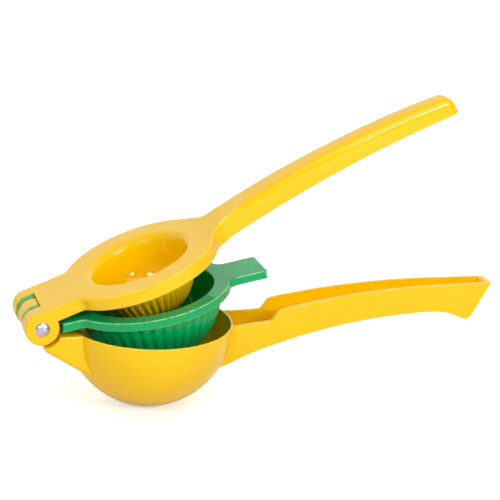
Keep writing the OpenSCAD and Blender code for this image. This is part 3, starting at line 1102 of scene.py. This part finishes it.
def turning_marks(tree, place):
    """Fine rings round the rivet's axis."""
    centred = tree.nodes.new("ShaderNodeMapping")
    centred.inputs["Location"].default_value = (-HINGE.x, 0.0, -HINGE.z)
    tree.links.new(place, centred.inputs["Vector"])
    rings = add(
        tree, "ShaderNodeTexWave", wave_type="RINGS", rings_direction="Y", wave_profile="SIN",
        scale=TURNING_SCALE, distortion=TURNING_WOBBLE,
    )
    tree.links.new(centred.outputs["Vector"], rings.inputs["Vector"])
    return rings.outputs["Fac"]


def steel(name, colour):
    """Turned rivet steel, with fine rings, small dents and tarnish."""
    material, tree, shader = principled(name)
    place = object_place(tree)
    dents = noise(tree, place, DENT_SCALE, DENT_DETAIL)
    rings = turning_marks(tree, place)
    height = worked_out(tree, "MULTIPLY_ADD", rings, TURNING_HEIGHT, dents)
    dull = tuple(channel * TARNISH_TONE for channel in colour)
    tone = mixed(tree, patches(tree, place, "tarnish"), (*colour, 1.0), (*dull, 1.0))
    roughness = ramp(tree, dents, *DENT_LIMITS, *STEEL_ROUGHNESS)
    tree.links.new(tone, shader.inputs["Base Color"])
    tree.links.new(roughness, shader.inputs["Roughness"])
    tree.links.new(bumped(tree, height, STEEL_STRENGTH), shader.inputs["Normal"])
    shader.inputs["Metallic"].default_value = 1.0
    return material


# ---------------------------------------------------------------- stage
def either(tree, share, first, second):
    """One light or another, by a share from 0 to 1."""
    node = tree.nodes.new("ShaderNodeMixShader")
    feed(tree, (share, first.outputs[0], second.outputs[0]), node.inputs)
    return node


def add_world():
    """White behind the object; for its gloss, a white wall behind and a dim room in front."""
    world = bpy.data.worlds.new("studio")
    bpy.context.scene.world = world
    world.use_nodes = True
    tree = world.node_tree
    parts = tree.nodes.new("ShaderNodeSeparateXYZ")
    tree.links.new(
        tree.nodes.new("ShaderNodeTexCoord").outputs["Generated"], parts.inputs["Vector"]
    )
    soft = tree.nodes["Background"]
    gloss, white = (tree.nodes.new("ShaderNodeBackground") for _ in range(2))
    for light in (soft, gloss, white):
        light.inputs["Color"].default_value = WHITE
    for light, front, back in (
        (soft, FRONT_LIGHT, BACK_LIGHT), (gloss, FRONT_GLOSS, BACK_GLOSS),
    ):
        wall = ramp(tree, parts.outputs["Y"], *ROOM_TURNS, front, back)
        tree.links.new(wall, light.inputs["Strength"])
    ray = tree.nodes.new("ShaderNodeLightPath").outputs
    lit = either(tree, ray["Is Glossy Ray"], soft, gloss)
    clear = worked_out(tree, "MAXIMUM", ray["Is Camera Ray"], ray["Is Transmission Ray"])
    shown = either(tree, clear, lit, white)
    tree.links.new(shown.outputs["Shader"], tree.nodes["World Output"].inputs["Surface"])


def floor_material():
    """Pale floor that looks white where it is lit and keeps the object's soft shadow."""
    material, tree, shader = principled("pale_floor")
    shader.inputs["Base Color"].default_value = (FLOOR_TONE, FLOOR_TONE, FLOOR_TONE, 1.0)
    shader.inputs["Roughness"].default_value = 1.0
    shader.inputs["Specular IOR Level"].default_value = 0.0
    shader.inputs["Emission Color"].default_value = WHITE
    away = add(tree, "ShaderNodeVectorMath", operation="LENGTH")
    tree.links.new(object_place(tree), away.inputs[0])
    glow = ramp(tree, away.outputs["Value"], *FLOOR_FADE, FLOOR_GLOW, 1.0)
    ray = tree.nodes.new("ShaderNodeLightPath").outputs
    seen = worked_out(tree, "MULTIPLY", ray["Is Camera Ray"], glow)
    tree.links.new(seen, shader.inputs["Emission Strength"])
    return material


def add_floor():
    """The plain pale floor."""
    solid = bmesh.new()
    bmesh.ops.create_grid(solid, x_segments=1, y_segments=1, size=FLOOR_HALF)
    floor = as_object("floor", solid)
    floor.data.materials.append(floor_material())


def softbox(name, azimuth, elevation, distance, width, height, brightness):
    """An area lamp of an even brightness that faces the object's middle."""
    data = bpy.data.lights.new(name, "AREA")
    data.shape = "RECTANGLE"
    data.size, data.size_y = width, height
    data.energy = brightness * width * height * math.pi
    away = direction(azimuth, elevation)
    turn = away.to_track_quat("Z", "Y").to_matrix().to_4x4()
    in_scene(name, data).matrix_world = Matrix.Translation(MIDDLE + distance * away) @ turn


# ---------------------------------------------------------------- scene
bpy.context.scene.view_settings.view_transform = "Standard"
add_camera()
add_world()
add_floor()
for lamp_name, lamp_values in LAMPS.items():
    softbox(lamp_name, *lamp_values)
enamel_surface = enamel_surface_group()
yellow = enamel("yellow_enamel", enamel_surface, YELLOW)
green = enamel("green_enamel", enamel_surface, GREEN)
polished = steel("rivet_steel", STEEL)
lemon_casting, lime_casting = make_lemon_bowl_arm(), make_lime_bowl()
press_casting, rivet = make_press_arm(), make_rivet()
finish_piece(lemon_casting, 0.0, "lemon_bowl_arm", "lemon_bowl_arm", yellow)
finish_piece(lime_casting, LIME_OPEN, "lime_bowl", "lime_bowl", green)
finish_piece(press_casting, PRESS_OPEN, "press_arm", "press_arm", yellow)
finish_piece(rivet, PRESS_OPEN, "press_arm", "hinge_rivet", polished)
